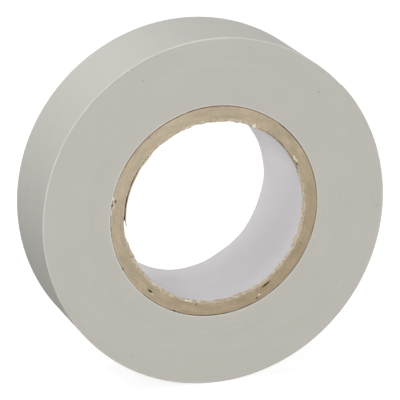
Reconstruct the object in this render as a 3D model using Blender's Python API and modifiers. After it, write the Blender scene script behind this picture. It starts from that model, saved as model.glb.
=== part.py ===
"""Roll of electrical tape: a wound paper core, the tape wound on it, and the free end that peels off.

Metres, +Z up. The roll stands on its rim with its axis along Y, and the origin is on the ground under its
middle. Angles turn anticlockwise as seen from the front, the -Y side, and start at +X.
"""

import math

import bmesh
import bpy
from mathutils import Vector

# Tape
TAPE_LENGTH = 20.0
TAPE_WIDTH = 0.019
TAPE_THICKNESS = 0.00013

# Core: a paper liner and the board plies glued round it
CORE_BORE = 0.038
LINER_THICKNESS = 0.0002
PLY_THICKNESS = 0.000425
PLY_COUNT = 4

# The strips of the core are wound as a helix, so each slice of one has a slanted butt seam
STRIP_PITCH = 0.160
SEAM_GAP = 0.0005
LINER_SEAM_ANGLE = math.radians(203.0)
SEAM_STAGGER = math.radians(77.0)

# Free end: how long it is, where its tip lies, and the flat that the rim stands on
FREE_END_LENGTH = 0.023
FREE_END_ANGLE = math.radians(42.0)
REST_DEPTH = 0.0005

# Clearances
GLUE_GAP = 0.0003
PEEL_GAP = 0.0005
TIP_GAP = 0.0005

# Fineness of the round shapes
TAPE_STEPS_PER_TURN = 120
CORE_STEPS_PER_TURN = 60
CORE_STEPS_ACROSS = 4

# Sizes that follow from the ones above
FULL_TURN = 2.0 * math.pi
LINER_RADIUS = CORE_BORE / 2.0 + LINER_THICKNESS
PLY_PITCH = GLUE_GAP + PLY_THICKNESS
CORE_RADIUS = LINER_RADIUS + PLY_COUNT * PLY_PITCH
ROLL_RADIUS = math.sqrt(CORE_RADIUS ** 2 + TAPE_LENGTH * TAPE_THICKNESS / math.pi)
TURN_LENGTH = FULL_TURN * ROLL_RADIUS
AXIS_HEIGHT = ROLL_RADIUS - REST_DEPTH
PACK_INSET = TAPE_THICKNESS + GLUE_GAP

# Places along the outer turn, as shares of a turn that starts under the tip of the free end
TIP_PLACE = 1.0 - TIP_GAP / TURN_LENGTH
ROOT_PLACE = TIP_PLACE - FREE_END_LENGTH / TURN_LENGTH
TURN_END_PLACE = ROOT_PLACE - PEEL_GAP / TURN_LENGTH
PEEL_LINE_PLACE = (ROOT_PLACE + TURN_END_PLACE) / 2.0

# Linear colours and roughness of the materials
GREY_PVC = ((0.508, 0.491, 0.445), 0.42)
TAN_BOARD = ((0.445, 0.361, 0.246), 0.90)
WHITE_PAPER = ((0.546, 0.527, 0.533), 0.75)


def clear_scene():
    for item in list(bpy.data.objects):
        bpy.data.objects.remove(item, do_unlink=True)


def make_material(name, finish):
    colour, roughness = finish
    material = bpy.data.materials.new(name)
    material.use_nodes = True
    shader = material.node_tree.nodes["Principled BSDF"]
    shader.inputs["Base Color"].default_value = (*colour, 1.0)
    shader.inputs["Roughness"].default_value = roughness
    shader.inputs["Metallic"].default_value = 0.0
    return material


def make_assembly(name):
    """The collection of the parts, and the empty on the roll's axis that carries them."""
    collection = bpy.data.collections.new(name)
    bpy.context.scene.collection.children.link(collection)
    axis = bpy.data.objects.new("roll_axis", None)
    axis.location = (0.0, 0.0, AXIS_HEIGHT)
    collection.objects.link(axis)
    return collection, axis


def add_part(name, data, finish, location=(0.0, 0.0, 0.0)):
    """A named sub-part with its own material, placed from the roll's axis."""
    data.materials.append(make_material(name + "_finish", finish))
    part = bpy.data.objects.new(name, data)
    part.parent = roll_axis
    part.location = location
    parts.objects.link(part)
    return part


def polar(radius, angle, across=0.0):
    return Vector((radius * math.cos(angle), across, radius * math.sin(angle)))


def turn_angle(place):
    return FREE_END_ANGLE + FULL_TURN * place


def turn_radius(place, inset=0.0):
    """Radius of the outer turn, which rises by one thickness of tape a turn and is flat where it stands."""
    wound = ROLL_RADIUS - TAPE_THICKNESS * (1.0 - place)
    downwards = -math.sin(turn_angle(place))
    if downwards * wound <= AXIS_HEIGHT:
        return wound - inset
    return (AXIS_HEIGHT - inset) / downwards


def bent_strip(name, finish, place_point, steps, thickness, origin=Vector()):
    """A flat strip laid along a path by place_point, and given its thickness inwards."""
    steps_along, steps_across = steps
    strip = bmesh.new()
    bmesh.ops.create_grid(strip, x_segments=steps_along, y_segments=steps_across, size=0.5)
    for corner in strip.verts:
        along = corner.co.x + 0.5
        across = -corner.co.y * TAPE_WIDTH
        corner.co = place_point(along, across) - origin
    mesh = bpy.data.meshes.new(name)
    strip.to_mesh(mesh)
    strip.free()
    mesh.shade_smooth()
    part = add_part(name, mesh, finish, origin)
    wall = part.modifiers.new("wall", "SOLIDIFY")
    wall.thickness = thickness
    wall.offset = -1.0
    wall.use_even_offset = True
    part.modifiers.new("flat_faces", "WEIGHTED_NORMAL")
    return part


def add_core_strip(name, finish, outer_radius, thickness, seam_angle):
    """One paper strip of the core: a slice of its helix, closed but for its slanted butt seam."""
    wrap = FULL_TURN - SEAM_GAP / outer_radius

    def place_point(along, across):
        angle = seam_angle + FULL_TURN * across / STRIP_PITCH + wrap * along
        return polar(outer_radius, angle, across)

    steps = (CORE_STEPS_PER_TURN, CORE_STEPS_ACROSS)
    return bent_strip(name, finish, place_point, steps, thickness)


def add_tape_strip(name, first_place, last_place, origin=Vector()):
    """A stretch of the outer turn between two places on it."""
    share = last_place - first_place

    def place_point(along, across):
        place = first_place + share * along
        return polar(turn_radius(place), turn_angle(place), across)

    steps = (math.ceil(share * TAPE_STEPS_PER_TURN), 1)
    return bent_strip(name, GREY_PVC, place_point, steps, TAPE_THICKNESS, origin)


def add_outline(curve, points):
    spline = curve.splines.new("POLY")
    spline.points.add(len(points) - 1)
    for corner, point in zip(spline.points, points):
        corner.co = (point.x, point.z, 0.0, 1.0)
    spline.use_cyclic_u = True
    spline.use_smooth = True


def add_tape_pack():
    """All the inner turns, stuck to each other: their side outline, with the step where the outer turn starts."""
    places = [step / TAPE_STEPS_PER_TURN for step in range(TAPE_STEPS_PER_TURN + 1)]
    rim = [polar(turn_radius(place, PACK_INSET), turn_angle(place)) for place in places]
    hole = [polar(CORE_RADIUS + GLUE_GAP, turn_angle(place)) for place in places[:-1]]
    curve = bpy.data.curves.new("tape_pack", "CURVE")
    curve.dimensions = "2D"
    curve.fill_mode = "BOTH"
    curve.extrude = TAPE_WIDTH / 2.0
    add_outline(curve, rim)
    add_outline(curve, hole)
    pack = add_part("tape_pack", curve, GREY_PVC)
    pack.rotation_euler.x = math.pi / 2.0
    return pack


def least_gap_of_turn():
    """Least distance between the two halves of the outer turn, on points of both its faces."""
    halves = ([], [])
    for step in range(TAPE_STEPS_PER_TURN + 1):
        place = TIP_PLACE * step / TAPE_STEPS_PER_TURN
        for inset in (0.0, TAPE_THICKNESS):
            halves[place > TIP_PLACE / 2.0].append(polar(turn_radius(place, inset), turn_angle(place)))
    quarter = TAPE_STEPS_PER_TURN // 2
    return min((first - last).length for first in halves[0][:quarter] for last in halves[1][-quarter:])


clear_scene()
parts, roll_axis = make_assembly("roll_of_electrical_tape")

# Core, from the bore outwards
add_core_strip("core_liner", WHITE_PAPER, LINER_RADIUS, LINER_THICKNESS, LINER_SEAM_ANGLE)
for number in range(1, PLY_COUNT + 1):
    ply_radius = LINER_RADIUS + number * PLY_PITCH
    ply_seam = LINER_SEAM_ANGLE + number * SEAM_STAGGER
    add_core_strip(f"core_ply_{number}", TAN_BOARD, ply_radius, PLY_THICKNESS, ply_seam)

# Tape: the inner turns as one pack, the outer turn on it, and the free end hinged on its peel line
add_tape_pack()
add_tape_strip("tape_outer_turn", 0.0, TURN_END_PLACE)
peel_line = polar(turn_radius(PEEL_LINE_PLACE), turn_angle(PEEL_LINE_PLACE))
add_tape_strip("tape_end", ROOT_PLACE, TIP_PLACE, peel_line)

print(f"roll radius {ROLL_RADIUS * 1000.0:.3f} mm, axis height {AXIS_HEIGHT * 1000.0:.3f} mm")
print(f"outer turn, least gap to itself {least_gap_of_turn() * 1000.0:.3f} mm")
print(f"peel line at x {peel_line.x:.6f}, z {peel_line.z + AXIS_HEIGHT:.6f}")
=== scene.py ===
import math

import bmesh
import bpy
import numpy as np
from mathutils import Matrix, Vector, noise


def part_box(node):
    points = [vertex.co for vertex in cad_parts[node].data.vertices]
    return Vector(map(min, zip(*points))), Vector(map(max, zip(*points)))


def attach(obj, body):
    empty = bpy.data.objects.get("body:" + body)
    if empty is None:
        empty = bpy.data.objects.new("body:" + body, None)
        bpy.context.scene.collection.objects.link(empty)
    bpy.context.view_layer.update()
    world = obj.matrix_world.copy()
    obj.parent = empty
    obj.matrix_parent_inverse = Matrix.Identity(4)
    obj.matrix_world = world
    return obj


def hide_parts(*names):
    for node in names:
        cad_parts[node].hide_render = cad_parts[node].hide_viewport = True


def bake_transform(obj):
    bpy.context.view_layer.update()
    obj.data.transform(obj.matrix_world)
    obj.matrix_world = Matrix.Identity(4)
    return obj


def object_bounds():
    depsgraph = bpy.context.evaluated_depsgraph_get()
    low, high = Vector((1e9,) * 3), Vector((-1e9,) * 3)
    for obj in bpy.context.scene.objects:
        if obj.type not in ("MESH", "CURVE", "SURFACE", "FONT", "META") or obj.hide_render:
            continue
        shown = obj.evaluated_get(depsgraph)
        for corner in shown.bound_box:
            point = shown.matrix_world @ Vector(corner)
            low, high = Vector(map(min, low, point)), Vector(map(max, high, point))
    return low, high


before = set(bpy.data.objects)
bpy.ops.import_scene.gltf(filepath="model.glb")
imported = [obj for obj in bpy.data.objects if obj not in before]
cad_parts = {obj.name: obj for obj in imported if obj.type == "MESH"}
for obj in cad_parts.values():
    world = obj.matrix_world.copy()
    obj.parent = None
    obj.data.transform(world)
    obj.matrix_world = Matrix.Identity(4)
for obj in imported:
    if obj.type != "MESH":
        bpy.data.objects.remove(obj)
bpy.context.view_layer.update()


# Core liner
# A strip of white paper, wound as a helix and glued inside the board, so its ends meet in a slanted seam. The
# saw has frayed and soiled its edges. At the seam one end has come unstuck and is torn to a tongue, the other
# has lost a corner, and towards the back of one side the wall stands into the bore.
MM = 0.001
FULL_TURN = 2.0 * math.pi
liner_low, liner_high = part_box("core_liner")
AXIS_HEIGHT = (liner_low.z + liner_high.z) / 2.0
HALF_WIDTH = liner_high.y
LINER_RADIUS = (liner_high.x - liner_low.x) / 2.0
# The arc at the upper right where the liner's edge is painted dark brown as painted shade.
SHADED_EDGE_SIDE = math.radians(40.0)
SHADED_EDGE_HALF = math.radians(16.0)
SHADED_EDGE_FADE = math.radians(6.0)


def paint(code):
    """A linear colour with alpha from an sRGB hex code."""
    channels = [int(code[i:i + 2], 16) / 255.0 for i in (1, 3, 5)]
    linear = [c / 12.92 if c <= 0.04045 else ((c + 0.055) / 1.055) ** 2.4 for c in channels]
    return (*linear, 1.0)


def add_node(tree, kind, inputs=None, stops=(), **settings):
    """Adds a node with its settings, the stops of its ramp, and a value or a link for each input.

    Inputs go by name or number, and only sockets in use count. A node as an input gives its first output.
    """
    node = tree.nodes.new(kind)
    for key, value in settings.items():
        setattr(node, key, value)
    for key, value in (inputs or {}).items():
        socket = next(s for i, s in enumerate(node.inputs) if s.enabled and key in (i, s.name))
        if isinstance(value, bpy.types.Node):
            value = next(output for output in value.outputs if output.enabled)
        if isinstance(value, bpy.types.NodeSocket):
            tree.links.new(value, socket)
        else:
            socket.default_value = value
    for number, (position, code) in enumerate(stops):
        node.color_ramp.elements[number].position = position
        node.color_ramp.elements[number].color = paint(code)
    return node


def new_material(name):
    material = bpy.data.materials.new(name)
    material.use_nodes = True
    tree = material.node_tree
    tree.nodes.clear()
    return material, tree


def place_on_roll(tree):
    """Where a point lies on the roll: its spoke as a unit vector, its radius and its place along the axis."""
    spot = add_node(tree, "ShaderNodeTexCoord").outputs["Object"]
    centred = add_node(tree, "ShaderNodeMapping", {"Vector": spot, "Location": (0.0, 0.0, -AXIS_HEIGHT)})
    axes = add_node(tree, "ShaderNodeSeparateXYZ", {"Vector": centred})
    flat = add_node(tree, "ShaderNodeCombineXYZ", {"X": axes.outputs["X"], "Y": axes.outputs["Z"]})
    radius = add_node(tree, "ShaderNodeVectorMath", {0: flat}, operation="LENGTH")
    spoke = add_node(tree, "ShaderNodeVectorMath", {0: flat}, operation="NORMALIZE")
    return {"spoke": spoke, "radius": radius, "across": axes.outputs["Y"]}


GRAIN_RADIUS = 25.0 * MM


def grain_round_roll(tree, place, around, through, detail=3.0):
    """Noise with grains of a length around the roll and a depth or width through it, laid with no seam."""
    ring = add_node(tree, "ShaderNodeVectorMath", {
        0: place["spoke"], "Scale": GRAIN_RADIUS / around}, operation="SCALE")
    depth = add_node(tree, "ShaderNodeMath", {0: place["radius"], 1: place["across"]}, operation="ADD")
    layer = add_node(tree, "ShaderNodeMath", {0: depth, 1: through}, operation="DIVIDE")
    lifted = add_node(tree, "ShaderNodeCombineXYZ", {"Z": layer})
    spot = add_node(tree, "ShaderNodeVectorMath", {0: ring, 1: lifted}, operation="ADD")
    return add_node(tree, "ShaderNodeTexNoise", {"Vector": spot, "Scale": 1.0, "Detail": detail})


def arc_mask(tree, place, middle, half, fade):
    """1 on the roll's spokes within half an arc of a direction, and fading to 0 beyond it."""
    along = add_node(tree, "ShaderNodeVectorMath", {
        0: place["spoke"], 1: (math.cos(middle), math.sin(middle), 0.0)}, operation="DOT_PRODUCT")
    return add_node(tree, "ShaderNodeMapRange", {
        "Value": along, "From Min": math.cos(half + fade), "From Max": math.cos(half)})


def add_surface(tree, colour, roughness, specular, height, strength, depth):
    """Ends a material in a surface with a fine relief, of a strength and a depth where its height is 1."""
    relief = add_node(tree, "ShaderNodeBump", {"Height": height, "Strength": strength, "Distance": depth})
    body = add_node(tree, "ShaderNodeBsdfPrincipled", {
        "Base Color": colour, "Roughness": roughness, "Specular IOR Level": specular, "Normal": relief})
    add_node(tree, "ShaderNodeOutputMaterial", {"Surface": body})


# Bleached liner paper: matt and slightly cool, softly clouded, greyed with painted shade to the lower right,
# and smudged where fingers reach in. The saw has left its edges tan with board dust, and along one arc at the
# upper right they are painted dark brown as painted shade.
# Where the paper is greyed with painted shade: most in this direction, fading out beyond.
PAINTED_SHADE_SIDE = math.radians(-38.0)
PAINTED_SHADE_FADE = math.radians(58.0)
HANDLED_SIDE = math.radians(-90.0)
HANDLED_HALF = math.radians(10.0)
HANDLED_FADE = math.radians(60.0)
liner_paper, tree = new_material("bleached_liner_paper")
place = place_on_roll(tree)
cloud = grain_round_roll(tree, place, 2.2 * MM, 1.6 * MM, 4.0)
fibre = grain_round_roll(tree, place, 0.5 * MM, 0.2 * MM)
rag = grain_round_roll(tree, place, 1.1 * MM, 0.3 * MM, 4.0)
white = add_node(tree, "ShaderNodeValToRGB", {"Fac": cloud}, stops=((0.3, "#f4f1f3"), (0.7, "#f8f5f7")))
soiled = add_node(tree, "ShaderNodeValToRGB", {"Fac": rag}, stops=((0.38, "#a8977c"), (0.68, "#d2c8b4")))
# Painted shade: the paper is mixed towards grey to the lower right of the bore.
painted_shade = add_node(tree, "ShaderNodeMix", {
    "Factor": arc_mask(tree, place, PAINTED_SHADE_SIDE, 0.0, PAINTED_SHADE_FADE), "A": white,
    "B": paint("#dbd8da")}, data_type="RGBA")
from_middle = add_node(tree, "ShaderNodeMath", {0: place["across"]}, operation="ABSOLUTE")
outer_share = add_node(tree, "ShaderNodeMapRange", {
    "Value": from_middle, "From Min": 1.0 * MM, "From Max": HALF_WIDTH, "To Min": 0.0, "To Max": 0.7})
handled = add_node(tree, "ShaderNodeMath", {
    0: arc_mask(tree, place, HANDLED_SIDE, HANDLED_HALF, HANDLED_FADE), 1: outer_share}, operation="MULTIPLY")
smudged = add_node(tree, "ShaderNodeMix", {
    "Factor": handled, "A": painted_shade, "B": paint("#cfccce")}, data_type="RGBA")
# Painted shade: along that arc the sawn edge is painted dark brown.
shaded_edge = add_node(tree, "ShaderNodeMix", {
    "Factor": arc_mask(tree, place, SHADED_EDGE_SIDE, SHADED_EDGE_HALF, SHADED_EDGE_FADE), "A": soiled,
    "B": paint("#8a7759")}, data_type="RGBA")
at_edge = add_node(tree, "ShaderNodeMapRange", {
    "Value": from_middle, "From Min": HALF_WIDTH - 0.22 * MM, "From Max": HALF_WIDTH - 0.10 * MM})
colour = add_node(tree, "ShaderNodeMix", {"Factor": at_edge, "A": smudged, "B": shaded_edge}, data_type="RGBA")
add_surface(tree, colour, roughness=0.75, specular=0.5, height=fibre, strength=0.25, depth=0.03 * MM)

# Dried glue and painted shade: the dark brown, slightly glossy skin on the faces that were joined, seen
# inside slits and gaps, where its dark brown also stands in for their shade. Further in than a millimetre or
# two from the front it is hidden by tan fibres, torn off the sheet that it held.
FIBRE_RAG = 3.0 * MM
FIBRES_BEGIN = 2.7 * MM
FIBRES_CLOSE = 3.6 * MM
glue_and_painted_shade, tree = new_material("glue_and_painted_shade")
place = place_on_roll(tree)
skin = grain_round_roll(tree, place, 0.8 * MM, 0.5 * MM)
# Painted shade: the glue's dark brown also darkens the slits and gaps near the front.
brown = add_node(tree, "ShaderNodeValToRGB", {"Fac": skin}, stops=((0.35, "#452a0c"), (0.65, "#70491a")))
fibre_swing = add_node(tree, "ShaderNodeMath", {
    0: skin, 1: FIBRE_RAG, 2: place["across"]}, operation="MULTIPLY_ADD")
fibre_share = add_node(tree, "ShaderNodeMapRange", {
    "Value": fibre_swing, "From Min": FIBRES_BEGIN - HALF_WIDTH, "From Max": FIBRES_CLOSE - HALF_WIDTH})
colour = add_node(tree, "ShaderNodeMix", {
    "Factor": fibre_share, "A": brown, "B": paint("#ab9b80")}, data_type="RGBA")
add_surface(tree, colour, roughness=0.6, specular=0.25, height=skin, strength=0.3, depth=0.03 * MM)

# The strip: its wall, its seam, and its rows of points from front to back, as shares of its half width.
LINER_WALL = 0.2 * MM
LINER_SEAM = math.radians(203.0)
LINER_SEAM_GAP = 0.2 * MM
STRIP_PITCH = 160.0 * MM
LINER_STEPS = 900
LINER_ROWS = (
    -0.985, -0.95, -0.92, -0.88, -0.8, -0.7, -0.45, -0.2, 0.05, 0.3, 0.48, 0.6, 0.7, 0.8, 0.88, 0.94, 0.985)
LINER_FACE_POINTS = 3
STRIP_CREASE = math.radians(50.0)
BARE = 0
GLUED = 1

# The lifted end, which still holds better further in. Its tip is curled and worn thin.
LIFTED_ARC = math.radians(50.0)
LIFT = 0.30 * MM
LIFT_CURVE = 0.55
STUCK_DEPTH = 6.0 * MM
LEAST_LIFT = 0.25
CURLED_ARC = math.radians(4.0)
CURL = 0.24 * MM
TAPERED_ARC = math.radians(6.0)
TIP_WALL = 0.35

# The tears: the tongue on the lifted end with the tear beside it, and the corner lost on the other end.
TEAR_RAG = 0.4 * MM
TEAR_WAVES = 6.0
TONGUE_LENGTH = 1.1 * MM
TONGUE_DEPTH = 0.35 * MM
END_TEAR = 1.2 * MM
END_TEAR_DEPTH = 3.5 * MM
TORN_CORNER = 4.2 * MM
TORN_CORNER_DEPTH = 2.0 * MM

# The saw's marks: fray along both edges, and at the front a burr into the bore. Most of the burr is left out
# along the arc of painted shade at the upper right, and the lifted end has none.
FRAY = 0.07 * MM
FRAY_LENGTH = 0.45 * MM
FINE_FRAY = 0.5
FRAYED_FROM = 0.94
BURR = 0.32 * MM
BURR_FROM = 0.9
BURR_MEAN = 0.8
BURR_SWING = 0.7
BURR_WAVE = 2.2 * MM
BURR_CRUMB = 0.5 * MM
CRUMB_SHARE = 0.6
BURR_CLEAR = 0.2
BURR_MISSING = 0.8

# The wall that stands into the bore.
SWELLING = 2.2 * MM
SWELLING_SWING = 0.25
SWELLING_WAVE = 7.0 * MM
SWOLLEN_DEPTH = 15.0 * MM
SWOLLEN_SIDE = math.radians(-35.0)
SWOLLEN_HALF = math.radians(125.0)


def smooth_step(value):
    value = min(max(value, 0.0), 1.0)
    return value * value * (3.0 - 2.0 * value)


def turned(angle, direction):
    """The angle from a direction, from minus half a turn to half a turn."""
    return (angle - direction + math.pi) % FULL_TURN - math.pi


def ragged(angle, radius, length, seed):
    """Smooth noise from -1 to 1 along a ring, with features of a length."""
    spot = Vector((math.cos(angle), math.sin(angle), 0.0)) * radius / length
    return noise.noise(spot + Vector((0.0, 0.0, seed)))


def bore_swelling(angle, across):
    """How far the core's wall stands into the bore, which it does towards the back of one side."""
    near_side = smooth_step(1.0 - abs(turned(angle, SWOLLEN_SIDE)) / SWOLLEN_HALF)
    uneven = 1.0 + SWELLING_SWING * ragged(angle, LINER_RADIUS, SWELLING_WAVE, seed=9.0)
    return SWELLING * near_side * uneven * smooth_step((across - HALF_WIDTH) / SWOLLEN_DEPTH + 1.0)


def section_shares(rows, face_points):
    """A loop round a strip's section: shares of its wall, 0 inside and 1 outside, and of its half width."""
    face = np.linspace(0.0, 1.0, face_points)
    front = [(share, -1.0) for share in face]
    outside = [(1.0, row) for row in rows]
    back = [(share, 1.0) for share in face[::-1]]
    inside = [(0.0, row) for row in rows[::-1]]
    return front + outside + back + inside


def section_walls(rows, face_points, inside):
    """What each side of that loop shows: the bare sheet on its ends, glue with painted shade outside, and as
    given inside.
    """
    end = [BARE] * (face_points - 1)
    run = len(rows) + 1
    return end + [GLUED] * run + end + [inside] * run


def roll_point(radius, angle, across):
    return (radius * math.cos(angle), across, AXIS_HEIGHT + radius * math.sin(angle))


def add_object(name, data):
    item = bpy.data.objects.new(name, data)
    bpy.context.scene.collection.objects.link(item)
    return item


def wound_strip(name, loops, walls, face_points, materials):
    """A closed strip through a series of loops of points, each of which starts with the points of its front.

    walls numbers each corner's side of the section by the material that it takes. The ends are closed from
    front to back by faces between the two walls, so that a torn end stays open between its points.
    """
    steps, count, _ = loops.shape
    first = np.arange(steps - 1)[:, None] * count
    here = np.arange(count)[None, :]
    ahead = (here + 1) % count
    corners = (first + here, first + ahead, first + count + ahead, first + count + here)
    quads = np.stack(corners, axis=-1).reshape(-1, 4).tolist()
    face_middle = (face_points - 1) // 2
    caps = []
    for end in (0, (steps - 1) * count):
        for step in range(count // 2):
            ways = (-step, -step - 1, step + 1, step)
            cap = [end + (face_middle + way) % count for way in ways]
            caps.append(list(dict.fromkeys(cap)))
    mesh = bpy.data.meshes.new(name)
    mesh.from_pydata(loops.reshape(-1, 3).tolist(), [], quads + caps)
    for material in materials:
        mesh.materials.append(material)
    mesh.polygons.foreach_set("material_index", walls * (steps - 1) + [BARE] * len(caps))
    shell = bmesh.new()
    shell.from_mesh(mesh)
    bmesh.ops.recalc_face_normals(shell, faces=shell.faces)
    shell.to_mesh(mesh)
    shell.free()
    mesh.shade_smooth()
    mesh.set_sharp_from_angle(angle=STRIP_CREASE)
    return add_object(name, mesh)


liner_section = section_shares(LINER_ROWS, LINER_FACE_POINTS)
liner_loops = np.zeros((LINER_STEPS + 1, len(liner_section), 3))
for step in range(LINER_STEPS + 1):
    share = step / LINER_STEPS
    for corner, (wall, row) in enumerate(liner_section):
        across = row * HALF_WIDTH
        depth = HALF_WIDTH + across
        tongue = 1.0 - smooth_step(depth / TONGUE_DEPTH - 1.0)
        torn_end = TEAR_RAG * (0.5 + 0.5 * noise.noise(Vector((0.0, 0.0, TEAR_WAVES * row))))
        torn_end += END_TEAR * (1.0 - tongue) * math.exp(-depth / END_TEAR_DEPTH) - TONGUE_LENGTH * tongue
        torn_start = TORN_CORNER * math.exp(-depth / TORN_CORNER_DEPTH)
        arc = FULL_TURN - (LINER_SEAM_GAP + torn_end + torn_start) / LINER_RADIUS
        start = LINER_SEAM + FULL_TURN * across / STRIP_PITCH + torn_start / LINER_RADIUS
        angle = start + arc * share
        left = arc * (1.0 - share)
        unstuck = LEAST_LIFT + (1.0 - LEAST_LIFT) * math.exp(-depth / STUCK_DEPTH)
        lifted = LIFT * unstuck * max(0.0, 1.0 - left / LIFTED_ARC) ** LIFT_CURVE
        lifted += CURL * unstuck * smooth_step(1.0 - left / CURLED_ARC)
        thinned = TIP_WALL + (1.0 - TIP_WALL) * smooth_step(left / TAPERED_ARC)
        radius = LINER_RADIUS - LINER_WALL * thinned * (1.0 - wall) - lifted
        edge = smooth_step((abs(row) - FRAYED_FROM) / (1.0 - FRAYED_FROM))
        fray = ragged(angle, radius, FRAY_LENGTH, seed=row)
        fray += FINE_FRAY * ragged(angle, radius, FRAY_LENGTH / 3.0, seed=row)
        across += math.copysign(edge * FRAY * fray, row)
        # Along the arc of painted shade most of the burr is left out.
        shaded_edge_here = 1.0 - smooth_step((abs(turned(angle, SHADED_EDGE_SIDE)) - SHADED_EDGE_HALF) / SHADED_EDGE_FADE)
        burr = BURR * (1.0 - BURR_MISSING * shaded_edge_here) * smooth_step(left / LIFTED_ARC - BURR_CLEAR)
        burr *= smooth_step((-row - BURR_FROM) / (1.0 - BURR_FROM)) * (1.0 - wall)
        coarse = ragged(angle, LINER_RADIUS, BURR_WAVE, seed=7.0)
        coarse += CRUMB_SHARE * ragged(angle, LINER_RADIUS, BURR_CRUMB, seed=8.0)
        radius -= burr * max(0.0, BURR_MEAN + BURR_SWING * coarse)
        radius -= bore_swelling(angle, row * HALF_WIDTH)
        liner_loops[step, corner] = roll_point(radius, angle, across)
liner_walls = section_walls(LINER_ROWS, LINER_FACE_POINTS, inside=BARE)
liner = wound_strip(
    "core_liner_paper", liner_loops, liner_walls, LINER_FACE_POINTS, (liner_paper, glue_and_painted_shade))
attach(liner, "roll")
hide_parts("core_liner")


# Core plies
# Strips of grey-tan board, wound over the liner one on the other and glued, then sawn to width as a tube.
# The sawn ends are rough and slightly crushed, and here and there two plies have come apart in a short slit.
PLY_COUNT = 4
PLY_STEPS = 720
PLY_ROWS = (-0.985, -0.94, -0.84, -0.62, -0.3, 0.0, 0.2, 0.4, 0.6, 0.75, 0.86, 0.94, 0.985)
PLY_FACE_POINTS = 5
PLY_SEAM_STAGGER = math.radians(77.0)
PLY_SEAM_GAP = 0.15 * MM
SAWN_FROM = 0.97
SAW_ROUGHNESS = 0.05 * MM
SAW_TOOTH = 0.35 * MM
SAW_WAVE = 1.4 * MM
WAVE_SHARE = 0.6
CRUSH = 0.015 * MM
HAIRLINE = 0.003 * MM

core_low, core_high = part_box("core_ply_4")
TIGHTNESS = 0.12 * MM
CORE_RADIUS = (core_high.x - core_low.x) / 2.0 - TIGHTNESS
PLY_WALL = (CORE_RADIUS - LINER_RADIUS) / PLY_COUNT

# Slits between plies, in degrees and mm: ply inside, where 0 is the liner, angle, half length and opening.
SLITS = (
    (0, 25.5, 0.55, 0.70),
    (0, 46.0, 4.20, 0.16),
    (0, 203.0, 0.35, 0.24),
    (0, 213.7, 0.40, 0.20),
    (1, 303.6, 1.35, 0.36),
    (2, 228.0, 0.75, 0.34),
    (3, 168.5, 0.35, 0.34),
    (3, 295.3, 0.32, 0.26),
)
SLIT_DEPTH = 2.2 * MM
SLIT_CURVE = 0.6

# The gap between board and tape: the arcs where it opens, by middle and half in degrees and share of the full
# gap, and ticks in the arc where it is closed, by angle in degrees, half length in mm and share.
TAPE_GAP = 0.15 * MM
GAP_DEPTH = 3.0 * MM
GAP_SWING = 0.6
GAP_WAVE = 3.0 * MM
CLOSED_SHARE = 0.03
CLOSING_ARC = math.radians(7.0)
LOOSE_ARCS = (
    (28.0, 20.0, 0.8),
    (82.0, 18.0, 0.12),
    (126.0, 18.0, 0.3),
    (242.0, 12.0, 0.6),
    (277.0, 20.0, 1.15),
    (322.0, 24.0, 1.0),
)
TICKS = (
    (171.0, 0.4, 2.0),
    (183.5, 0.6, 0.8),
    (187.5, 0.3, 0.8),
    (207.0, 0.5, 1.6),
    (221.0, 0.8, 0.5),
    (246.5, 0.6, 1.9),
)


def slit_opening(inner_ply, angle, radius, depth):
    """How far the joint outside a ply is open at an angle and a depth from the front."""
    wide = 0.0
    for ply_inside, middle, half, opening in SLITS:
        if ply_inside == inner_ply:
            along = abs(turned(angle, math.radians(middle))) * radius / (half * MM)
            wide = max(wide, opening * MM * (1.0 - smooth_step(along)) ** SLIT_CURVE)
    return wide * math.exp(-depth / SLIT_DEPTH)


def tape_gap(angle, depth):
    """How far the board stands off the tape at an angle and a depth from the front."""
    loose = CLOSED_SHARE
    for middle, half, share in LOOSE_ARCS:
        beyond = abs(turned(angle, math.radians(middle))) - math.radians(half)
        loose = max(loose, share * (1.0 - smooth_step(beyond / CLOSING_ARC)))
    loose *= 1.0 + GAP_SWING * ragged(angle, CORE_RADIUS, GAP_WAVE, seed=3.0)
    for middle, half, share in TICKS:
        along = abs(turned(angle, math.radians(middle))) * CORE_RADIUS / (half * MM)
        loose = max(loose, share * (1.0 - smooth_step(along)))
    return TAPE_GAP * loose * math.exp(-depth / GAP_DEPTH)


# Core board: pressed waste fibres, matt tan, streaked round the tube, painted lighter to the upper left and
# darker to the lower right as painted light and shade. The saw has combed out a paler rag along the bore, and
# left it brown with glue at the outer ply's edge.
PAINTED_LIGHT_SIDE = math.radians(128.0)
CLEAN_SIDE = math.radians(201.0)
CLEAN_HALF = math.radians(44.0)
core_board, tree = new_material("pressed_core_board")
place = place_on_roll(tree)
streak = grain_round_roll(tree, place, 3.0 * MM, 0.16 * MM, 4.0)
grain = grain_round_roll(tree, place, 0.55 * MM, 0.3 * MM, 5.0)
blotch = grain_round_roll(tree, place, 5.0 * MM, 1.2 * MM, 2.0)
rag = grain_round_roll(tree, place, 1.3 * MM, 0.5 * MM, 4.0)
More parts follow.
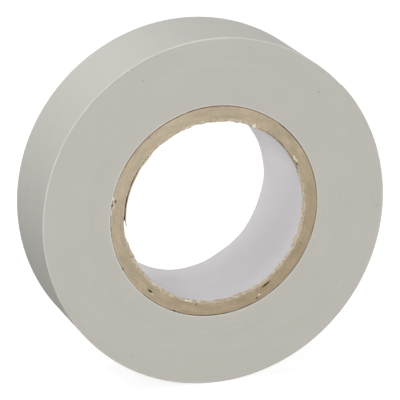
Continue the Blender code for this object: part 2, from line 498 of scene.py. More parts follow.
# Painted light and shade: the tan is lighter on the side that faces the light, at the upper left.
facing = add_node(tree, "ShaderNodeVectorMath", {
    0: place["spoke"], 1: (math.cos(PAINTED_LIGHT_SIDE), math.sin(PAINTED_LIGHT_SIDE), 0.0)}, operation="DOT_PRODUCT")
painted_light_and_shade = add_node(tree, "ShaderNodeMapRange", {"Value": facing, "From Min": -1.0, "From Max": 1.0})
tan = add_node(tree, "ShaderNodeMix", {
    "Factor": painted_light_and_shade, "A": paint("#a5957b"), "B": paint("#baab94")}, data_type="RGBA")
fibres = add_node(tree, "ShaderNodeMix", {"Factor": 0.85, "A": streak, "B": grain}, data_type="FLOAT")
mottle = add_node(tree, "ShaderNodeMix", {"Factor": 0.55, "A": fibres, "B": blotch}, data_type="FLOAT")
value = add_node(tree, "ShaderNodeMapRange", {
    "Value": mottle, "From Min": 0.3, "From Max": 0.7, "To Min": 0.80, "To Max": 1.20})
mottled = add_node(tree, "ShaderNodeHueSaturation", {"Color": tan, "Value": value})
rag_swing = add_node(tree, "ShaderNodeMath", {
    0: rag, 1: 1.8 * MM, 2: place["radius"]}, operation="MULTIPLY_ADD")
rag_share = add_node(tree, "ShaderNodeMapRange", {
    "Value": rag_swing, "From Min": LINER_RADIUS + 0.86 * MM, "From Max": LINER_RADIUS + 1.1 * MM,
    "To Min": 0.55, "To Max": 0.0})
# No pale rag on the arc where the liner's edge has painted shade.
unshaded_edge = add_node(tree, "ShaderNodeMath", {
    0: 1.0, 1: arc_mask(tree, place, SHADED_EDGE_SIDE, SHADED_EDGE_HALF, SHADED_EDGE_FADE)}, operation="SUBTRACT")
rag_here = add_node(tree, "ShaderNodeMath", {0: rag_share, 1: unshaded_edge}, operation="MULTIPLY")
ragged_tan = add_node(tree, "ShaderNodeMix", {
    "Factor": rag_here, "A": mottled, "B": paint("#cbc0aa")}, data_type="RGBA")
glue_swing = add_node(tree, "ShaderNodeMath", {
    0: rag, 1: 0.5 * MM, 2: place["radius"]}, operation="MULTIPLY_ADD")
glue_edge = add_node(tree, "ShaderNodeMapRange", {
    "Value": glue_swing, "From Min": CORE_RADIUS + 0.02 * MM, "From Max": CORE_RADIUS + 0.14 * MM,
    "To Min": 0.0, "To Max": 0.7})
unclean = add_node(tree, "ShaderNodeMath", {
    0: 1.0, 1: arc_mask(tree, place, CLEAN_SIDE, CLEAN_HALF, CLOSING_ARC)}, operation="SUBTRACT")
glue_share = add_node(tree, "ShaderNodeMath", {0: glue_edge, 1: unclean}, operation="MULTIPLY")
colour = add_node(tree, "ShaderNodeMix", {
    "Factor": glue_share, "A": ragged_tan, "B": paint("#93744a")}, data_type="RGBA")
add_surface(tree, colour, roughness=0.9, specular=0.25, height=fibres, strength=0.5, depth=0.06 * MM)

ply_section = section_shares(PLY_ROWS, PLY_FACE_POINTS)
ply_walls = section_walls(PLY_ROWS, PLY_FACE_POINTS, inside=GLUED)
for number in range(1, PLY_COUNT + 1):
    inner_radius = LINER_RADIUS + (number - 1) * PLY_WALL
    outer_radius = inner_radius + PLY_WALL
    seam = LINER_SEAM + number * PLY_SEAM_STAGGER
    arc = FULL_TURN - PLY_SEAM_GAP / outer_radius
    ply_loops = np.zeros((PLY_STEPS + 1, len(ply_section), 3))
    for step in range(PLY_STEPS + 1):
        share = step / PLY_STEPS
        for corner, (wall, row) in enumerate(ply_section):
            across = row * HALF_WIDTH
            depth = HALF_WIDTH + across
            angle = seam + FULL_TURN * across / STRIP_PITCH + arc * share
            inside = inner_radius + HAIRLINE + slit_opening(number - 1, angle, inner_radius, depth) / 2.0
            if number == 1:
                inside -= bore_swelling(angle, across)
            outside = outer_radius - HAIRLINE - slit_opening(number, angle, outer_radius, depth) / 2.0
            if number == PLY_COUNT:
                outside -= tape_gap(angle, depth)
            radius = inside + (outside - inside) * wall
            edge = smooth_step((abs(row) - SAWN_FROM) / (1.0 - SAWN_FROM))
            rough = ragged(angle, radius, SAW_TOOTH, seed=11.0 * wall + number)
            rough += WAVE_SHARE * ragged(angle, radius, SAW_WAVE, seed=5.0 * wall + number)
            crushed = CRUSH * (2.0 * wall - 1.0) ** 2
            across += math.copysign(edge * (SAW_ROUGHNESS * rough - crushed), row)
            ply_loops[step, corner] = roll_point(radius, angle, across)
    ply = wound_strip(
        f"core_board_ply_{number}", ply_loops, ply_walls, PLY_FACE_POINTS, (core_board, glue_and_painted_shade))
    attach(ply, "roll")
    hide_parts(f"core_ply_{number}")


# Torn paper
# Flakes of paper that the saw tore up beside the slits and along the bore, and fine fibres that it combed out
# of the liner's edges. They hang on by one side, but for one sliver that has strayed to the rim.
FLAKE_POINTS = 11
FLAKE_THICKNESS = 0.04 * MM
FLAKE_CLEARANCE = 0.02 * MM
FLAKE_RAG = 0.22
FLAKE_LOBES = 3.0

# Flakes, in degrees and mm: angle, radius, length round the roll, width, and rise of the loose side.
FLAKES = (
    (167.3, 21.95, 0.75, 0.55, 0.20),
    (171.6, 21.50, 1.30, 0.16, 0.05),
    (174.8, 21.85, 1.50, 0.20, 0.05),
    (64.4, 19.10, 0.85, 0.85, 0.24),
    (27.6, 19.72, 0.60, 0.26, 0.04),
    (29.4, 19.52, 0.80, 0.30, 0.04),
    (30.8, 19.70, 0.40, 0.22, 0.04),
    (297.2, 20.87, 0.50, 0.22, 0.08),
    (229.9, 20.84, 0.70, 0.20, 0.12),
    (252.5, 19.10, 1.60, 0.24, 0.05),
    (120.2, 35.45, 0.16, 0.95, 0.05),
)


def add_flake(shell, degrees, radius, length, width, rise, seed):
    """Adds a thin, ragged, domed flake on the front face to a bmesh, with its outer side standing up."""
    angle = math.radians(degrees)
    spoke = Vector((math.cos(angle), 0.0, math.sin(angle)))
    tangent = Vector((-math.sin(angle), 0.0, math.cos(angle)))
    middle = spoke * (radius * MM) + Vector((0.0, -HALF_WIDTH, AXIS_HEIGHT))
    rims = []
    for side in (0.0, 1.0):
        rim = []
        for point in range(FLAKE_POINTS):
            turn = FULL_TURN * point / FLAKE_POINTS
            lobe = Vector((FLAKE_LOBES * math.cos(turn), FLAKE_LOBES * math.sin(turn), seed))
            reach = 0.5 + FLAKE_RAG * noise.noise(lobe)
            along = math.cos(turn) * reach
            out = math.sin(turn) * reach
            height = FLAKE_CLEARANCE + rise * MM * (0.5 + out) ** 2 + side * FLAKE_THICKNESS
            corner = middle + tangent * along * (length * MM) + spoke * out * (width * MM)
            rim.append(shell.verts.new(corner - Vector((0.0, height, 0.0))))
        rims.append(rim)
    shell.faces.new(rims[0])
    shell.faces.new(rims[1])
    for point in range(FLAKE_POINTS):
        after = (point + 1) % FLAKE_POINTS
        shell.faces.new((rims[0][point], rims[0][after], rims[1][after], rims[1][point]))


def finish_flakes(name, shell, material):
    bmesh.ops.recalc_face_normals(shell, faces=shell.faces)
    mesh = bpy.data.meshes.new(name)
    shell.to_mesh(mesh)
    shell.free()
    mesh.materials.append(material)
    piece = add_object(name, mesh)
    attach(piece, "roll")


# Torn paper: the white inside of the sheet, matt and fluffy.
torn_paper, tree = new_material("torn_paper")
fluff = grain_round_roll(tree, place_on_roll(tree), 0.3 * MM, 0.15 * MM)
shade = add_node(tree, "ShaderNodeValToRGB", {"Fac": fluff}, stops=((0.35, "#d3c9b8"), (0.6, "#f0ebe2")))
add_surface(tree, shade, roughness=0.9, specular=0.2, height=fluff, strength=0.4, depth=0.03 * MM)

flakes = bmesh.new()
for seed, flake in enumerate(FLAKES):
    add_flake(flakes, *flake, seed)
finish_flakes("torn_paper_flakes", flakes, torn_paper)


def new_node_tree(name, inputs):
    """A tree of geometry nodes that makes a mesh from named inputs, given with their kinds."""
    tree = bpy.data.node_groups.new(name, "GeometryNodeTree")
    tree.is_modifier = True
    tree.interface.new_socket(name="Geometry", in_out="OUTPUT", socket_type="NodeSocketGeometry")
    for label, kind in inputs.items():
        tree.interface.new_socket(name=label, in_out="INPUT", socket_type="NodeSocket" + kind)
    return tree, add_node(tree, "NodeGroupInput").outputs


def stand_on_roll(tree, geometry, middle, material):
    """Stands flat geometry up with its middle at a place along the roll's axis, made real and painted."""
    stand = add_node(tree, "ShaderNodeCombineXYZ", {"Y": middle, "Z": AXIS_HEIGHT})
    stood = add_node(tree, "GeometryNodeTransform", {
        "Geometry": geometry, "Translation": stand, "Rotation": (math.pi / 2.0, 0.0, 0.0)})
    real = add_node(tree, "GeometryNodeRealizeInstances", {"Geometry": stood})
    return add_node(tree, "GeometryNodeSetMaterial", {"Geometry": real, "Material": material})


FILM_CREASE = math.radians(40.0)


def grow(name, tree, values):
    """The mesh that a tree of geometry nodes makes from its named inputs, as a plain object."""
    piece = add_object(name, bpy.data.meshes.new(name))
    modifier = piece.modifiers.new("grow", "NODES")
    modifier.node_group = tree
    for socket in tree.interface.items_tree:
        if socket.in_out == "INPUT":
            modifier[socket.identifier] = values[socket.name]
    evaluated = piece.evaluated_get(bpy.context.evaluated_depsgraph_get())
    mesh = bpy.data.meshes.new_from_object(evaluated)
    piece.modifiers.remove(modifier)
    piece.data = mesh
    mesh.shade_smooth()
    mesh.set_sharp_from_angle(angle=FILM_CREASE)
    return piece


# Combed fibres: thin curved hairs strewn in clumps along a ring, each lying nearly along it.
HAIR_BEND = 0.25
HAIR_TILT = Vector((0.7, 0.3, 3.1))
CLUMP_LENGTH = 10.0 / 3.0 * MM
CLUMP_LEVEL = 0.47
combing, given = new_node_tree("combed_fibres", {
    "Ring radius": "Float", "Ring place": "Float", "Count": "Int", "Fibre length": "Float",
    "Fibre thickness": "Float", "Strew": "Float", "Seed": "Int", "Paper": "Material"})
ring = add_node(combing, "GeometryNodeCurvePrimitiveCircle", {
    "Resolution": 128, "Radius": given["Ring radius"]}, mode="RADIUS")
strewn = add_node(combing, "GeometryNodeCurveToPoints", {
    "Curve": ring, "Count": given["Count"]}, mode="COUNT")
strew_box = add_node(combing, "ShaderNodeCombineXYZ", {"X": given["Strew"], "Y": given["Strew"]})
strew_back = add_node(combing, "ShaderNodeVectorMath", {0: strew_box, "Scale": -1.0}, operation="SCALE")
scatter = add_node(combing, "FunctionNodeRandomValue", {
    "Min": strew_back, "Max": strew_box, "Seed": given["Seed"]}, data_type="FLOAT_VECTOR")
scattered = add_node(combing, "GeometryNodeSetPosition", {"Geometry": strewn, "Offset": scatter})
bend = add_node(combing, "ShaderNodeMath", {0: given["Fibre length"], 1: HAIR_BEND}, operation="MULTIPLY")
half_length = add_node(combing, "ShaderNodeMath", {0: given["Fibre length"], 1: 0.5}, operation="MULTIPLY")
back_length = add_node(combing, "ShaderNodeMath", {0: given["Fibre length"], 1: -0.5}, operation="MULTIPLY")
hair_start = add_node(combing, "ShaderNodeCombineXYZ", {"Z": back_length})
hair_middle = add_node(combing, "ShaderNodeCombineXYZ", {"X": bend})
hair_end = add_node(combing, "ShaderNodeCombineXYZ", {"Z": half_length})
hair_line = add_node(combing, "GeometryNodeCurveQuadraticBezier", {
    "Resolution": 4, "Start": hair_start, "Middle": hair_middle, "End": hair_end})
hair_section = add_node(combing, "GeometryNodeCurvePrimitiveCircle", {
    "Resolution": 3, "Radius": given["Fibre thickness"]}, mode="RADIUS")
hair = add_node(combing, "GeometryNodeCurveToMesh", {
    "Curve": hair_line, "Profile Curve": hair_section, "Fill Caps": True})
askew = add_node(combing, "FunctionNodeRandomValue", {
    "Min": -HAIR_TILT, "Max": HAIR_TILT, "Seed": given["Seed"]}, data_type="FLOAT_VECTOR")
lie = add_node(combing, "FunctionNodeRotateRotation", {
    "Rotation": strewn.outputs["Rotation"], "Rotate By": askew}, rotation_space="LOCAL")
size = add_node(combing, "FunctionNodeRandomValue", {
    "Min": 0.5, "Max": 1.3, "Seed": given["Seed"]}, data_type="FLOAT")
clump_size = add_node(combing, "ShaderNodeTexNoise", {"Scale": 1.0 / CLUMP_LENGTH, "Detail": 2.0})
clump = add_node(combing, "FunctionNodeCompare", {
    "A": clump_size, "B": CLUMP_LEVEL}, operation="GREATER_THAN")
hairs = add_node(combing, "GeometryNodeInstanceOnPoints", {
    "Points": scattered, "Selection": clump, "Instance": hair, "Rotation": lie, "Scale": size})
add_node(combing, "NodeGroupOutput", {
    "Geometry": stand_on_roll(combing, hairs, given["Ring place"], given["Paper"])})

for name, side, seed in (("combed_fibres_front", -1.0, 3), ("combed_fibres_back", 1.0, 5)):
    fibres = grow(name, combing, {
        "Ring radius": LINER_RADIUS + 0.02 * MM, "Ring place": side * HALF_WIDTH, "Count": 520,
        "Fibre length": 0.7 * MM, "Fibre thickness": 0.025 * MM, "Strew": 0.2 * MM, "Seed": seed,
        "Paper": torn_paper})
    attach(fibres, "roll")


# Inner turns of the tape
# Soft PVC film with tack on one face, wound under tension and then cut to width, so that each turn shows as a
# fine edge on the sides. The edges are one unbroken spiral a side, over a body of the turns that stay hidden.
TAPE_THICKNESS = 0.13 * MM
FREE_END_ANGLE = math.radians(42.0)
EDGE_DEPTH = 0.35 * MM
EDGE_STEPS_PER_TURN = 80
FILM_SHARE = 0.96
EDGE_WANDER = 0.012 * MM
LEAN = 0.34 * MM
LEAN_ANGLE = math.radians(308.0)

# The outer turn's box gives its radius at the top of the roll, which is this share of a turn before the tip.
TOP_SHARE = 312.0 / 360.0
ROLL_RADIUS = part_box("tape_outer_turn")[1].z - AXIS_HEIGHT + TAPE_THICKNESS * TOP_SHARE
BODY_INNER_RADIUS = CORE_RADIUS + 0.02 * MM
FIRST_TURN_RADIUS = BODY_INNER_RADIUS + TAPE_THICKNESS / 2.0
PACK_END_RADIUS = ROLL_RADIUS - 1.5 * TAPE_THICKNESS
PACK_TURNS = (PACK_END_RADIUS - FIRST_TURN_RADIUS) / TAPE_THICKNESS

# The winding: a spiral of film of a given width, with its outer corners rounded. Its edges wander as they do
# off a slitter, in bands of about four turns, and its turns have crept a little to one side of the core, as
# soft tape does in store. Faces that look towards the axis are the tacky ones.
BAND_RATE = 0.23
LOOKS_INWARD = -15.0 * MM
winding, given = new_node_tree("wound_tape", {
    "Start radius": "Float", "Turns": "Float", "End angle": "Float", "Pitch": "Float",
    "Film thickness": "Float", "Width": "Float", "Middle": "Float", "Edge radius": "Float",
    "Steps per turn": "Int", "Wander": "Float", "Core radius": "Float", "Roll radius": "Float",
    "Lean": "Vector", "Film": "Material", "Tack": "Material"})
rise = add_node(winding, "ShaderNodeMath", {0: given["Turns"], 1: given["Pitch"]}, operation="MULTIPLY")
end_radius = add_node(winding, "ShaderNodeMath", {0: given["Start radius"], 1: rise}, operation="ADD")
spiral = add_node(winding, "GeometryNodeCurveSpiral", {
    "Resolution": given["Steps per turn"], "Rotations": given["Turns"], "Start Radius": given["Start radius"],
    "End Radius": end_radius, "Height": 0.0, "Reverse": True})
upright = add_node(winding, "GeometryNodeSetCurveNormal", {"Curve": spiral}, mode="Z_UP")
outline = add_node(winding, "GeometryNodeCurvePrimitiveQuadrilateral", {
    "Width": given["Film thickness"], "Height": given["Width"]})
corner = add_node(winding, "GeometryNodeInputPosition")
corner_axes = add_node(winding, "ShaderNodeSeparateXYZ", {"Vector": corner})
outer_corner = add_node(winding, "ShaderNodeMath", {
    0: corner_axes.outputs["X"], 1: 0.0}, operation="GREATER_THAN")
corner_radius = add_node(winding, "ShaderNodeMath", {
    0: outer_corner, 1: given["Edge radius"]}, operation="MULTIPLY")
eased = add_node(winding, "GeometryNodeFilletCurve", {
    "Curve": outline, "Count": 1, "Radius": corner_radius, "Limit Radius": True}, mode="POLY")
square = add_node(winding, "FunctionNodeCompare", {
    "A": given["Edge radius"], "B": 0.0}, operation="LESS_EQUAL")
profile = add_node(winding, "GeometryNodeSwitch", {
    "Switch": square, "False": eased, "True": outline}, input_type="GEOMETRY")
strip = add_node(winding, "GeometryNodeCurveToMesh", {
    "Curve": upright, "Profile Curve": profile, "Fill Caps": True})
spot = add_node(winding, "GeometryNodeInputPosition")
axes = add_node(winding, "ShaderNodeSeparateXYZ", {"Vector": spot})
flat = add_node(winding, "ShaderNodeCombineXYZ", {"X": axes.outputs["X"], "Y": axes.outputs["Y"]})
radius_here = add_node(winding, "ShaderNodeVectorMath", {0: flat}, operation="LENGTH")
spoke = add_node(winding, "ShaderNodeVectorMath", {0: flat}, operation="NORMALIZE")
turn_here = add_node(winding, "ShaderNodeMath", {0: radius_here, 1: given["Pitch"]}, operation="DIVIDE")
band = add_node(winding, "ShaderNodeMath", {0: turn_here, 1: BAND_RATE}, operation="MULTIPLY")
layer = add_node(winding, "ShaderNodeCombineXYZ", {"Z": band})
wave_spot = add_node(winding, "ShaderNodeVectorMath", {0: spoke, 1: layer}, operation="ADD")
wave = add_node(winding, "ShaderNodeTexNoise", {"Vector": wave_spot, "Scale": 1.0, "Detail": 3.0})
swing = add_node(winding, "ShaderNodeMath", {0: wave, 1: 0.5}, operation="SUBTRACT")
shift = add_node(winding, "ShaderNodeMath", {0: swing, 1: given["Wander"]}, operation="MULTIPLY")
sideways = add_node(winding, "ShaderNodeCombineXYZ", {"Z": shift})
wandered = add_node(winding, "GeometryNodeSetPosition", {"Geometry": strip, "Offset": sideways})
wound = add_node(winding, "ShaderNodeMath", {0: given["Turns"], 1: FULL_TURN}, operation="MULTIPLY")
start_angle = add_node(winding, "ShaderNodeMath", {0: given["End angle"], 1: wound}, operation="SUBTRACT")
spin = add_node(winding, "ShaderNodeCombineXYZ", {"Z": start_angle})
spun = add_node(winding, "GeometryNodeTransform", {"Geometry": wandered, "Rotation": spin})
toward = add_node(winding, "ShaderNodeVectorMath", {0: spoke, 1: given["Lean"]}, operation="DOT_PRODUCT")
outward = add_node(winding, "ShaderNodeMapRange", {
    "Value": radius_here, "From Min": given["Core radius"], "From Max": given["Roll radius"]})
creep = add_node(winding, "ShaderNodeMath", {0: toward, 1: outward}, operation="MULTIPLY")
crept = add_node(winding, "ShaderNodeVectorMath", {0: spoke, "Scale": creep}, operation="SCALE")
leaned = add_node(winding, "GeometryNodeSetPosition", {"Geometry": spun, "Offset": crept})
filmed = stand_on_roll(winding, leaned, given["Middle"], given["Film"])
centred = add_node(winding, "ShaderNodeVectorMath", {
    0: spot, 1: (0.0, 0.0, AXIS_HEIGHT)}, operation="SUBTRACT")
facing = add_node(winding, "GeometryNodeInputNormal")
outlook = add_node(winding, "ShaderNodeVectorMath", {0: facing, 1: centred}, operation="DOT_PRODUCT")
inward = add_node(winding, "FunctionNodeCompare", {"A": outlook, "B": LOOKS_INWARD}, operation="LESS_THAN")
tacked = add_node(winding, "GeometryNodeSetMaterial", {
    "Geometry": filmed, "Selection": inward, "Material": given["Tack"]})
add_node(winding, "NodeGroupOutput", {"Geometry": tacked})

# Soft grey PVC, cut edge: a satin, very even grey, with faint rings where turns stand a hair proud, paler
# where the first turns are squeezed against the board, and dark brown next to the board, partly stained by
# its glue and partly painted shade in the gap.
cut_pvc, tree = new_material("soft_pvc_cut_edge")
place = place_on_roll(tree)
rings = grain_round_roll(tree, place, 60.0 * MM, 0.5 * MM)
haze = grain_round_roll(tree, place, 7.0 * MM, 4.0 * MM)
grit = grain_round_roll(tree, place, 0.5 * MM, 0.25 * MM, 2.0)
tone = add_node(tree, "ShaderNodeMix", {"Factor": 0.5, "A": rings, "B": haze}, data_type="FLOAT")
grey = add_node(tree, "ShaderNodeValToRGB", {"Fac": tone}, stops=((0.3, "#bab7af"), (0.7, "#bfbcb4")))
squeezed = add_node(tree, "ShaderNodeMapRange", {
    "Value": place["radius"], "From Min": CORE_RADIUS + 0.12 * MM, "From Max": CORE_RADIUS + 0.36 * MM,
    "To Min": 0.9, "To Max": 0.0})
pale_grey = add_node(tree, "ShaderNodeMix", {
    "Factor": squeezed, "A": grey, "B": paint("#d8d5cd")}, data_type="RGBA")
# Glue stain and painted shade: dark brown on the innermost edge and on the wall that faces the gap.
glue_stain_and_shade = add_node(tree, "ShaderNodeMapRange", {
    "Value": place["radius"], "From Min": CORE_RADIUS + 0.045 * MM, "From Max": CORE_RADIUS + 0.065 * MM,
    "To Min": 1.0, "To Max": 0.0})
colour = add_node(tree, "ShaderNodeMix", {
    "Factor": glue_stain_and_shade, "A": pale_grey, "B": paint("#694414")}, data_type="RGBA")
add_surface(tree, colour, roughness=0.55, specular=0.4, height=grit, strength=0.15, depth=0.02 * MM)

# Soft grey PVC, film face: calendered smooth, a dull satin with slow waves in its gloss, and whitened along
# the cut corners, partly where the film has been pressed and partly as a painted highlight on the rounded
# edge.
film_pvc, tree = new_material("soft_pvc_film")
place = place_on_roll(tree)
haze = grain_round_roll(tree, place, 9.0 * MM, 5.0 * MM)
lines = grain_round_roll(tree, place, 30.0 * MM, 0.35 * MM)
grey = add_node(tree, "ShaderNodeValToRGB", {"Fac": haze}, stops=((0.3, "#bbb9b2"), (0.7, "#c0beb7")))
from_middle = add_node(tree, "ShaderNodeMath", {0: place["across"]}, operation="ABSOLUTE")
# Painted highlight, partly pressed whitening: the cut corners are mixed towards pale grey.
pale_corner_and_highlight = add_node(tree, "ShaderNodeMapRange", {
    "Value": from_middle, "From Min": HALF_WIDTH - 0.14 * MM, "From Max": HALF_WIDTH - 0.06 * MM,
    "To Min": 0.0, "To Max": 0.8})
colour = add_node(tree, "ShaderNodeMix", {
    "Factor": pale_corner_and_highlight, "A": grey, "B": paint("#d9d7d0")}, data_type="RGBA")
gloss = add_node(tree, "ShaderNodeMapRange", {
    "Value": haze, "From Min": 0.3, "From Max": 0.7, "To Min": 0.64, "To Max": 0.74})
add_surface(tree, colour, roughness=gloss, specular=0.2, height=lines, strength=0.08, depth=0.02 * MM)

# Rubber tack: the sticky face of the film, a little darker and glossier, mottled with fine pick marks where
# it has been pulled off the turn below. Its grain is the same in all directions, so it suits any bend.
PICK_SIZE = 0.7 * MM
BLOTCH_SIZE = 4.0 * MM
tack, tree = new_material("rubber_tack")
spot = add_node(tree, "ShaderNodeTexCoord").outputs["Object"]
picks = add_node(tree, "ShaderNodeTexNoise", {"Vector": spot, "Scale": 1.0 / PICK_SIZE, "Detail": 3.0})
blotches = add_node(tree, "ShaderNodeTexNoise", {"Vector": spot, "Scale": 1.0 / BLOTCH_SIZE, "Detail": 2.0})
tone = add_node(tree, "ShaderNodeMix", {"Factor": 0.5, "A": picks, "B": blotches}, data_type="FLOAT")
grey = add_node(tree, "ShaderNodeValToRGB", {"Fac": tone}, stops=((0.35, "#a8a59b"), (0.65, "#b3b0a6")))
gloss = add_node(tree, "ShaderNodeMapRange", {
    "Value": blotches, "From Min": 0.3, "From Max": 0.7, "To Min": 0.3, "To Max": 0.45})
add_surface(tree, grey, roughness=gloss, specular=0.5, height=picks, strength=0.3, depth=0.03 * MM)

SIDE_EDGES = {
    "Start radius": FIRST_TURN_RADIUS, "Turns": PACK_TURNS, "End angle": FREE_END_ANGLE,
    "Pitch": TAPE_THICKNESS, "Film thickness": TAPE_THICKNESS * FILM_SHARE, "Width": EDGE_DEPTH,
    "Edge radius": 0.0, "Steps per turn": EDGE_STEPS_PER_TURN, "Wander": EDGE_WANDER,
    "Core radius": CORE_RADIUS, "Roll radius": ROLL_RADIUS,
    "Lean": (LEAN * math.cos(LEAN_ANGLE), LEAN * math.sin(LEAN_ANGLE), 0.0), "Film": cut_pvc, "Tack": cut_pvc}
EDGE_MIDDLE = HALF_WIDTH - EDGE_DEPTH / 2.0
for name, side in (("tape_edges_front", -1.0), ("tape_edges_back", 1.0)):
    edges = grow(name, winding, {**SIDE_EDGES, "Middle": side * EDGE_MIDDLE})
    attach(edges, "roll")

# The hidden turns: a plain ring between the two spirals, under the pack's last turn. Inside it is brown with
# glue, which also paints the shade of the gap to the board.
BODY_STEPS = 160
BODY_OUTER_RADIUS = PACK_END_RADIUS - 4.0 * TAPE_THICKNESS
GLUED_SKIN = 0.1 * MM
PACK_GLUE = 2
hidden = bmesh.new()
corners = (
    (BODY_INNER_RADIUS, -EDGE_MIDDLE), (BODY_OUTER_RADIUS, -EDGE_MIDDLE),
    (BODY_OUTER_RADIUS, EDGE_MIDDLE), (BODY_INNER_RADIUS, EDGE_MIDDLE))
section = [hidden.verts.new((radius, across, AXIS_HEIGHT)) for radius, across in corners]
loop = [hidden.edges.new((section[i], section[(i + 1) % 4])) for i in range(4)]
bmesh.ops.spin(
    hidden, geom=section + loop, cent=(0.0, 0.0, AXIS_HEIGHT), axis=(0.0, 1.0, 0.0), angle=FULL_TURN,
    steps=BODY_STEPS, use_merge=True)
bmesh.ops.recalc_face_normals(hidden, faces=hidden.faces)
for face in hidden.faces:
    middle = face.calc_center_median()
    if math.hypot(middle.x, middle.z - AXIS_HEIGHT) < BODY_INNER_RADIUS + GLUED_SKIN:
        face.material_index = PACK_GLUE

last_turn = grow("tape_pack_turns", winding, {
    **SIDE_EDGES, "Start radius": PACK_END_RADIUS - TAPE_THICKNESS, "Turns": 1.0, "Width": 2.0 * HALF_WIDTH,
    "Middle": 0.0, "Edge radius": 0.03 * MM, "Steps per turn": 360, "Wander": 0.0,
    "Film": film_pvc, "Tack": tack})
last_turn.data.materials.append(glue_and_painted_shade)
hidden.from_mesh(last_turn.data)
hidden.to_mesh(last_turn.data)
hidden.free()
last_turn.data.shade_smooth()
last_turn.data.set_sharp_from_angle(angle=FILM_CREASE)
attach(last_turn, "roll")
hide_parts("tape_pack")


# Outer turn
# The last turn of the same film, stuck down on the turn below, which makes the rim. Its outer corners are
# pressed round and catch the light.
TURN_LENGTH = FULL_TURN * ROLL_RADIUS
TIP_GAP = 0.5 * MM
FREE_END_LENGTH = 23.0 * MM
BEND_LENGTH = 5.0 * MM
tip_place = 1.0 - TIP_GAP / TURN_LENGTH
bend_place = tip_place - (FREE_END_LENGTH + BEND_LENGTH) / TURN_LENGTH
OUTER_TURN = {
    **SIDE_EDGES, "Film thickness": TAPE_THICKNESS, "Width": 2.0 * HALF_WIDTH + 0.06 * MM, "Middle": 0.0,
    "Edge radius": 0.12 * MM, "Steps per turn": 480, "Wander": 0.02 * MM, "Film": film_pvc, "Tack": tack}
outer_turn = grow("tape_outer_turn_film", winding, {
    **OUTER_TURN, "Start radius": PACK_END_RADIUS, "Turns": bend_place,
    "End angle": FREE_END_ANGLE + FULL_TURN * bend_place})
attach(outer_turn, "roll")
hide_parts("tape_outer_turn")


# Free end
# The last stretch of the tape, pressed down on the roll and picked up by its straight cut tip. It carries on
# from the outer turn, which ends at the peel line.
free_end = grow("tape_free_end", winding, {
    **OUTER_TURN, "Start radius": PACK_END_RADIUS + TAPE_THICKNESS * bend_place,
    "Turns": tip_place - bend_place, "End angle": FREE_END_ANGLE + FULL_TURN * tip_place})
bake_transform(free_end)
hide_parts("tape_end")


# Dust
# Specks of dust and board fluff, and one hair, that cling to the tacky edges of the front side. Each has its
# angle in degrees, and its radius, length round the roll and width in mm.
DUST = (
    (118.0, 32.25, 0.24, 0.50),
    (46.4, 31.90, 0.42, 0.34),
    (77.8, 34.20, 0.30, 0.14),
    (26.3, 32.40, 0.28, 0.20),
    (359.8, 33.90, 0.30, 0.20),
    (356.9, 34.90, 0.24, 0.34),
    (356.5, 35.45, 0.08, 1.00),
    (325.8, 33.90, 0.24, 0.16),
    (238.3, 33.85, 0.26, 0.20),
)
DUST_SEED = 20.0

# House dust: grey felted fluff, matt.
house_dust, tree = new_material("house_dust")
fluff = grain_round_roll(tree, place_on_roll(tree), 0.2 * MM, 0.1 * MM)
shade = add_node(tree, "ShaderNodeValToRGB", {"Fac": fluff}, stops=((0.0, "#8d8a82"), (1.0, "#a19e96")))
body = add_node(tree, "ShaderNodeBsdfPrincipled", {"Base Color": shade, "Roughness": 0.9})
add_node(tree, "ShaderNodeOutputMaterial", {"Surface": body})

specks = bmesh.new()
for seed, speck in enumerate(DUST):
    add_flake(specks, *speck, 0.0, DUST_SEED + seed)
finish_flakes("dust_specks", specks, house_dust)


# Studio
# A plain white floor that keeps a soft shadow, soft lamps all round, and the camera of the photograph. Floor
# and room look white, but throw no more light on the roll than a pale floor does.
FLOOR_HALF = 3.0


def seen_rays(tree):
    """1 for the rays that show what lies behind the roll: to the camera, off gloss and through glass."""
    rays = add_node(tree, "ShaderNodeLightPath").outputs
    mirrored = add_node(tree, "ShaderNodeMath", {
        0: rays["Is Camera Ray"], 1: rays["Is Glossy Ray"]}, operation="MAXIMUM")
    return add_node(tree, "ShaderNodeMath", {
        0: mirrored, 1: rays["Is Transmission Ray"]}, operation="MAXIMUM")


# White card: matt paper board, which glows a little where it is seen, so that it looks white.
white_card, tree = new_material("white_card")
dull = add_node(tree, "ShaderNodeBsdfDiffuse", {"Color": paint("#a6a6a6")})
pale = add_node(tree, "ShaderNodeBsdfDiffuse", {"Color": paint("#959595")})
glow = add_node(tree, "ShaderNodeEmission", {"Color": paint("#ffffff"), "Strength": 0.86})
lit = add_node(tree, "ShaderNodeAddShader", {0: pale, 1: glow})
card = add_node(tree, "ShaderNodeMixShader", {0: seen_rays(tree), 1: dull, 2: lit})
add_node(tree, "ShaderNodeOutputMaterial", {"Surface": card})

floor_mesh = bpy.data.meshes.new("studio_floor")
slab = bmesh.new()
bmesh.ops.create_grid(slab, x_segments=1, y_segments=1, size=FLOOR_HALF)
slab.to_mesh(floor_mesh)
slab.free()
floor_mesh.materials.append(white_card)
roll_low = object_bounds()[0]
floor = add_object("studio_floor", floor_mesh)
floor.location.z = roll_low.z

world = bpy.data.worlds.new("studio_room")
world.use_nodes = True
bpy.context.scene.world = world
tree = world.node_tree
tree.nodes.clear()
surround = add_node(tree, "ShaderNodeBackground", {"Color": paint("#ffffff"), "Strength": seen_rays(tree)})
add_node(tree, "ShaderNodeOutputWorld", {"Surface": surround})


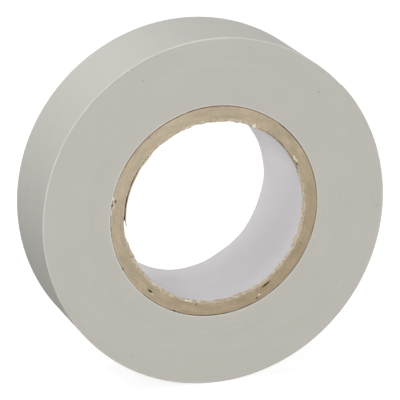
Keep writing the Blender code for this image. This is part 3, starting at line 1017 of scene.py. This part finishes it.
def way_from_roll(bearing, height):
    """A unit vector at degrees round from the front, to the right, and degrees up from level."""
    bearing = math.radians(bearing)
    height = math.radians(height)
    return Vector((
        math.sin(bearing) * math.cos(height), -math.cos(bearing) * math.cos(height), math.sin(height)))


# Lamps: degrees round from the front to the right, degrees up, width in metres, and watts.
ROLL_MIDDLE = Vector((0.0, 0.0, AXIS_HEIGHT))
LAMP_DISTANCE = 2.0
LAMPS = (
    ("front_lamp", -20.0, 13.0, 1.4, 29.8),
    ("right_lamp", 45.0, 15.0, 1.4, 12.9),
    ("left_top_lamp", -90.0, 65.0, 1.4, 24.6),
    ("back_left_lamp", -135.0, 15.0, 1.4, 6.8),
    ("right_back_lamp", 110.0, 10.0, 0.6, 8.0),
    ("back_lamp", 180.0, 10.0, 0.6, 16.0),
)
for name, bearing, height, width, watts in LAMPS:
    lamp = bpy.data.lights.new(name, "AREA")
    lamp.shape = "DISK"
    lamp.size = width
    lamp.energy = watts
    light = add_object(name, lamp)
    towards = way_from_roll(bearing, height)
    light.location = ROLL_MIDDLE + towards * LAMP_DISTANCE
    light.rotation_euler = towards.to_track_quat("Z", "Y").to_euler()

# Camera: its bearing and height in degrees, its distance from the front's middle, and its aim beside that.
CAMERA_BEARING = -19.21
CAMERA_HEIGHT = 17.09
CAMERA_DISTANCE = 603.1 * MM
AIM_RIGHT = -3.010 * MM
AIM_UP = 2.379 * MM
LENS_LENGTH = 270.0
SENSOR_WIDTH = 36.0
front_middle = Vector((0.0, -HALF_WIDTH, AXIS_HEIGHT))
outwards = way_from_roll(CAMERA_BEARING, CAMERA_HEIGHT)
rightwards = (-outwards).cross(Vector((0.0, 0.0, 1.0))).normalized()
upwards = rightwards.cross(-outwards)
lens = bpy.data.cameras.new("photo_camera")
lens.lens = LENS_LENGTH
lens.sensor_width = SENSOR_WIDTH
lens.clip_start = 0.05
lens.clip_end = 20.0
camera = add_object("photo_camera", lens)
camera.location = front_middle + outwards * CAMERA_DISTANCE
aim = front_middle + rightwards * AIM_RIGHT + upwards * AIM_UP
camera.rotation_euler = (aim - camera.location).to_track_quat("-Z", "Y").to_euler()
bpy.context.scene.camera = camera
bpy.context.scene.view_settings.view_transform = "Standard"
